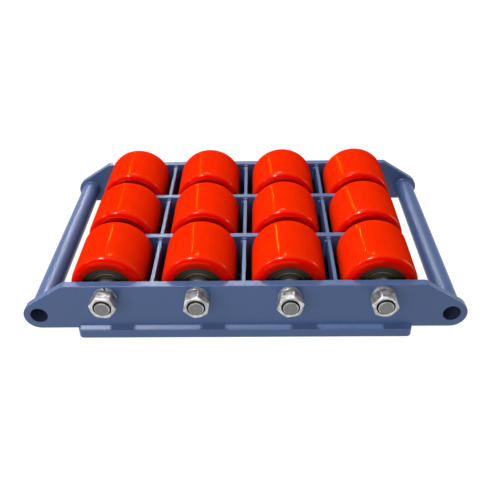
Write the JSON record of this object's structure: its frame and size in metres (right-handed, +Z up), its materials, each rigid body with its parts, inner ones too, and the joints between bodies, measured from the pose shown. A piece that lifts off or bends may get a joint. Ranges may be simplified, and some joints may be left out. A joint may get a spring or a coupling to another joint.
{
  "type": "machine skate",
  "caption": "Low welded steel skate with a flat load plate, rows of polyurethane rollers on through axles and a tow tube across each end, for rolling heavy machines.",
  "frame": {"origin": "middle of the underside of the load plate, on which the skate lies with its rollers up", "axes": "+X along the skate between the tow tubes, +Y across it along the axles away from the pictured side, +Z up from the load plate to the rollers"},
  "size_m": [0.505, 0.346, 0.098],
  "materials": {
    "frame_paint": "satin enamel",
    "red_polyurethane": "glossy cast",
    "dark_hub": "dark oiled",
    "bearing_steel": "ground",
    "axle_steel": "turned",
    "zinc_plate": "bright zinc"
  },
  "bodies": {
    "frame": {"load_plate": "frame_paint", "side_plate_front": "frame_paint", "side_plate_rear": "frame_paint", "inner_plate_front": "frame_paint", "inner_plate_rear": "frame_paint", "dividers_front": "frame_paint", "dividers_middle": "frame_paint", "dividers_rear": "frame_paint", "tow_tube_left": "frame_paint", "tow_tube_right": "frame_paint", "axle_1": "axle_steel", "axle_2": "axle_steel", "axle_3": "axle_steel", "axle_4": "axle_steel", "axle_nuts": "zinc_plate", "spring_washers": "zinc_plate", "bearing_inner_rings_axle_1": "bearing_steel", "bearing_inner_rings_axle_2": "bearing_steel", "bearing_inner_rings_axle_3": "bearing_steel", "bearing_inner_rings_axle_4": "bearing_steel", "bearing_spacers": "axle_steel", "side_spacers": "axle_steel"},
    "roller_front_1": {"tyre_front_1": "red_polyurethane", "hub_front_1": "dark_hub", "bearings_front_1": "bearing_steel"},
    "roller_front_2": {"tyre_front_2": "red_polyurethane", "hub_front_2": "dark_hub", "bearings_front_2": "bearing_steel"},
    "roller_front_3": {"tyre_front_3": "red_polyurethane", "hub_front_3": "dark_hub", "bearings_front_3": "bearing_steel"},
    "roller_front_4": {"tyre_front_4": "red_polyurethane", "hub_front_4": "dark_hub", "bearings_front_4": "bearing_steel"},
    "roller_middle_1": {"tyre_middle_1": "red_polyurethane", "hub_middle_1": "dark_hub", "bearings_middle_1": "bearing_steel"},
    "roller_middle_2": {"tyre_middle_2": "red_polyurethane", "hub_middle_2": "dark_hub", "bearings_middle_2": "bearing_steel"},
    "roller_middle_3": {"tyre_middle_3": "red_polyurethane", "hub_middle_3": "dark_hub", "bearings_middle_3": "bearing_steel"},
    "roller_middle_4": {"tyre_middle_4": "red_polyurethane", "hub_middle_4": "dark_hub", "bearings_middle_4": "bearing_steel"},
    "roller_rear_1": {"tyre_rear_1": "red_polyurethane", "hub_rear_1": "dark_hub", "bearings_rear_1": "bearing_steel"},
    "roller_rear_2": {"tyre_rear_2": "red_polyurethane", "hub_rear_2": "dark_hub", "bearings_rear_2": "bearing_steel"},
    "roller_rear_3": {"tyre_rear_3": "red_polyurethane", "hub_rear_3": "dark_hub", "bearings_rear_3": "bearing_steel"},
    "roller_rear_4": {"tyre_rear_4": "red_polyurethane", "hub_rear_4": "dark_hub", "bearings_rear_4": "bearing_steel"}
  },
  "joints": [
    {"name": "roller_front_1_spin", "type": "hinge", "parent": "frame", "child": "roller_front_1", "pos_m": [-0.1545, -0.096, 0.0555], "axis": [0, 1, 0], "continuous": true},
    {"name": "roller_front_2_spin", "type": "hinge", "parent": "frame", "child": "roller_front_2", "pos_m": [-0.0515, -0.096, 0.0555], "axis": [0, 1, 0], "continuous": true},
    {"name": "roller_front_3_spin", "type": "hinge", "parent": "frame", "child": "roller_front_3", "pos_m": [0.0515, -0.096, 0.0555], "axis": [0, 1, 0], "continuous": true},
    {"name": "roller_front_4_spin", "type": "hinge", "parent": "frame", "child": "roller_front_4", "pos_m": [0.1545, -0.096, 0.0555], "axis": [0, 1, 0], "continuous": true},
    {"name": "roller_middle_1_spin", "type": "hinge", "parent": "frame", "child": "roller_middle_1", "pos_m": [-0.1545, 0, 0.0555], "axis": [0, 1, 0], "continuous": true},
    {"name": "roller_middle_2_spin", "type": "hinge", "parent": "frame", "child": "roller_middle_2", "pos_m": [-0.0515, 0, 0.0555], "axis": [0, 1, 0], "continuous": true},
    {"name": "roller_middle_3_spin", "type": "hinge", "parent": "frame", "child": "roller_middle_3", "pos_m": [0.0515, 0, 0.0555], "axis": [0, 1, 0], "continuous": true},
    {"name": "roller_middle_4_spin", "type": "hinge", "parent": "frame", "child": "roller_middle_4", "pos_m": [0.1545, 0, 0.0555], "axis": [0, 1, 0], "continuous": true},
    {"name": "roller_rear_1_spin", "type": "hinge", "parent": "frame", "child": "roller_rear_1", "pos_m": [-0.1545, 0.096, 0.0555], "axis": [0, 1, 0], "continuous": true},
    {"name": "roller_rear_2_spin", "type": "hinge", "parent": "frame", "child": "roller_rear_2", "pos_m": [-0.0515, 0.096, 0.0555], "axis": [0, 1, 0], "continuous": true},
    {"name": "roller_rear_3_spin", "type": "hinge", "parent": "frame", "child": "roller_rear_3", "pos_m": [0.0515, 0.096, 0.0555], "axis": [0, 1, 0], "continuous": true},
    {"name": "roller_rear_4_spin", "type": "hinge", "parent": "frame", "child": "roller_rear_4", "pos_m": [0.1545, 0.096, 0.0555], "axis": [0, 1, 0], "continuous": true}
  ]
}
